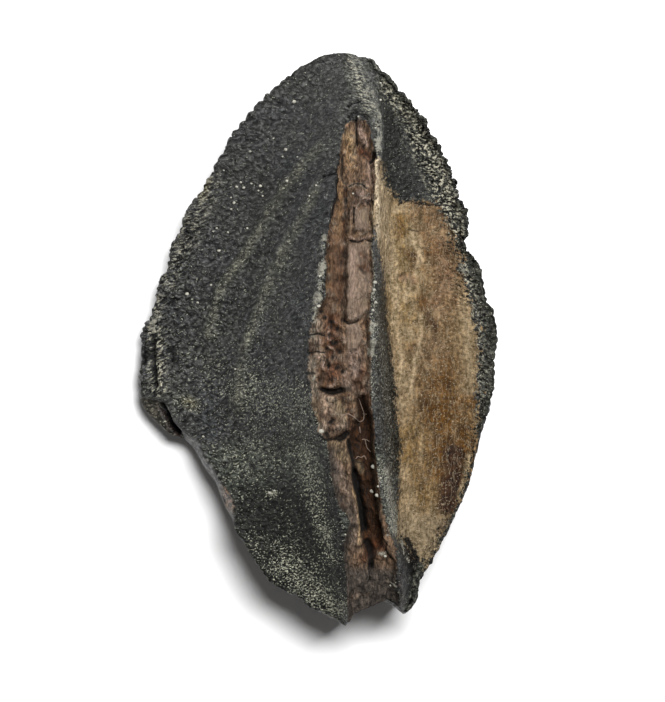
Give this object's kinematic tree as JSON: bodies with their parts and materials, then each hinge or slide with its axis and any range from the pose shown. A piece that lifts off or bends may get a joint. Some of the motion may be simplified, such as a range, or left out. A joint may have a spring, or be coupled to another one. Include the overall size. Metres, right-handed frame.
{
  "type": "fossil dinosaur tooth",
  "caption": "Leaf-shaped fossil tooth crown of a horned dinosaur, with a high broken keel, denticled edges and one hollow face, lying on its back.",
  "frame": {"origin": "on the resting plane, under the middle of the crown's outline", "axes": "+Z away from the resting plane, out of the enamelled face; +Y along the crown towards its tip; +X across the crown, towards the face with the hollow"},
  "size_m": [0.0254, 0.04, 0.0127],
  "materials": {
    "fossil_enamel": "dull, pebbled charcoal enamel with pale dust in its pits, and tan and brown dentine where the enamel is lost"
  },
  "bodies": {
    "root": {"tooth": "fossil_enamel"}
  },
  "joints": []
}
